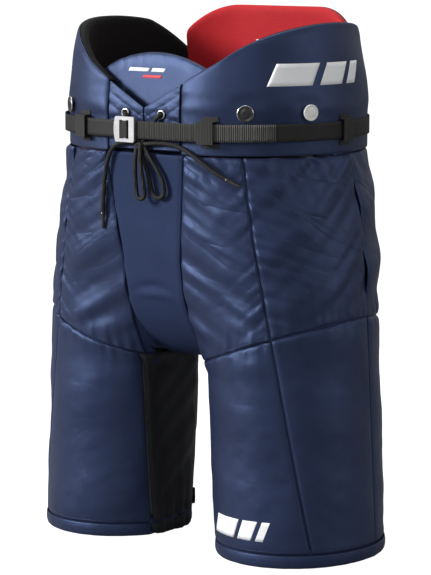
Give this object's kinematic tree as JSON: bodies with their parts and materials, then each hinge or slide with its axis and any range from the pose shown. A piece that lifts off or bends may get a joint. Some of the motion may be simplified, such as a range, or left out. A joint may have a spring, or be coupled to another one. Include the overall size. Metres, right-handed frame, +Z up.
{
  "type": "hockey pants",
  "caption": "Padded ice hockey pants with hip wings, spine pad, laced fly, webbing belt with slide buckle, brace buttons and hinged padded legs.",
  "frame": {"origin": "middle of the pants on the floor, under the centre of their bounding box", "axes": "+Z up, front faces -Y, wearer's left is +X"},
  "size_m": [0.434, 0.2912, 0.606],
  "materials": {
    "navy_nylon": "satin woven nylon",
    "navy_knit": "fine ribbed stretch knit",
    "black_lining": "matte brushed lining",
    "red_lining": "matte mesh lining",
    "black_stretch": "matte stretch fabric",
    "guard_plastic": "moulded polyethylene",
    "foam": "closed cell foam",
    "webbing": "woven webbing",
    "buckle_plastic": "satin moulded plastic",
    "button_black": "gloss",
    "button_white": "gloss",
    "washer_metal": "satin",
    "eyelet_metal": "satin",
    "lace_cord": "braided",
    "aglet_plastic": "gloss"
  },
  "bodies": {
    "waist": {"left_wing_cover": "navy_nylon", "left_fly_flap": "navy_nylon", "left_front_panel": "navy_nylon", "left_side_panel": "navy_nylon", "left_seat_panel": "navy_nylon", "left_kidney_plate": "guard_plastic", "left_hip_plate": "guard_plastic", "left_wing_lining": "black_lining", "left_hip_foam": "foam", "left_lace_tail": "lace_cord", "left_lace_loop": "lace_cord", "right_wing_cover": "navy_nylon", "right_fly_flap": "navy_nylon", "right_front_panel": "navy_nylon", "right_side_panel": "navy_nylon", "right_seat_panel": "navy_nylon", "right_kidney_plate": "guard_plastic", "right_hip_plate": "guard_plastic", "right_wing_lining": "black_lining", "right_hip_foam": "foam", "right_lace_tail": "lace_cord", "right_lace_loop": "lace_cord", "spine_cover": "navy_nylon", "spine_plate": "guard_plastic", "spine_lining": "red_lining", "lace_eyelets": "eyelet_metal", "belt_band": "webbing", "belt_tail": "webbing", "belt_loops": "webbing", "dark_buttons": "button_black", "side_buttons": "button_white", "button_washers": "washer_metal", "crotch_gusset": "navy_knit", "tailbone_plate": "guard_plastic", "waist_lining": "black_lining", "lace_knot": "lace_cord", "lace_tie": "lace_cord", "lace_aglets": "aglet_plastic"},
    "left_leg": {"left_thigh_cover": "navy_nylon", "left_side_cover": "navy_nylon", "left_back_cover": "navy_nylon", "left_inner_leg_panel": "black_stretch", "left_hem_band": "navy_nylon", "left_thigh_plate": "guard_plastic", "left_thigh_foam": "foam", "left_back_foam": "foam", "left_leg_lining": "black_lining"},
    "right_leg": {"right_thigh_cover": "navy_nylon", "right_side_cover": "navy_nylon", "right_back_cover": "navy_nylon", "right_inner_leg_panel": "black_stretch", "right_hem_band": "navy_nylon", "right_thigh_plate": "guard_plastic", "right_thigh_foam": "foam", "right_back_foam": "foam", "right_leg_lining": "black_lining"},
    "tongue": {"tongue_pad": "navy_nylon"},
    "buckle": {"buckle_frame": "buckle_plastic"},
    "buckle_bar": {"buckle_bar": "buckle_plastic", "belt_bight": "webbing"}
  },
  "joints": [
    {"name": "left_hip_flexion", "type": "hinge", "parent": "waist", "child": "left_leg", "pos_m": [0.104, 0, 0.345], "axis": [-1, 0, 0], "range_deg": [-20, 50], "deforming": ["left_front_panel", "left_side_panel", "left_seat_panel", "left_hip_foam"]},
    {"name": "right_hip_flexion", "type": "hinge", "parent": "waist", "child": "right_leg", "pos_m": [-0.104, 0, 0.345], "axis": [-1, 0, 0], "range_deg": [-20, 50], "deforming": ["right_front_panel", "right_side_panel", "right_seat_panel", "right_hip_foam"]},
    {"name": "tongue_fold", "type": "hinge", "parent": "waist", "child": "tongue", "pos_m": [0, -0.1264, 0.44], "axis": [-1, 0, 0], "range_deg": [0, 20]},
    {"name": "buckle_swing", "type": "hinge", "parent": "waist", "child": "buckle", "pos_m": [-0.0271, -0.1393, 0.478], "axis": [0, 0, -1], "range_deg": [0, 22]},
    {"name": "bar_slide", "type": "slide", "parent": "buckle", "child": "buckle_bar", "axis": [1, 0, 0], "range_m": [-0.0014, 0.0014]}
  ]
}
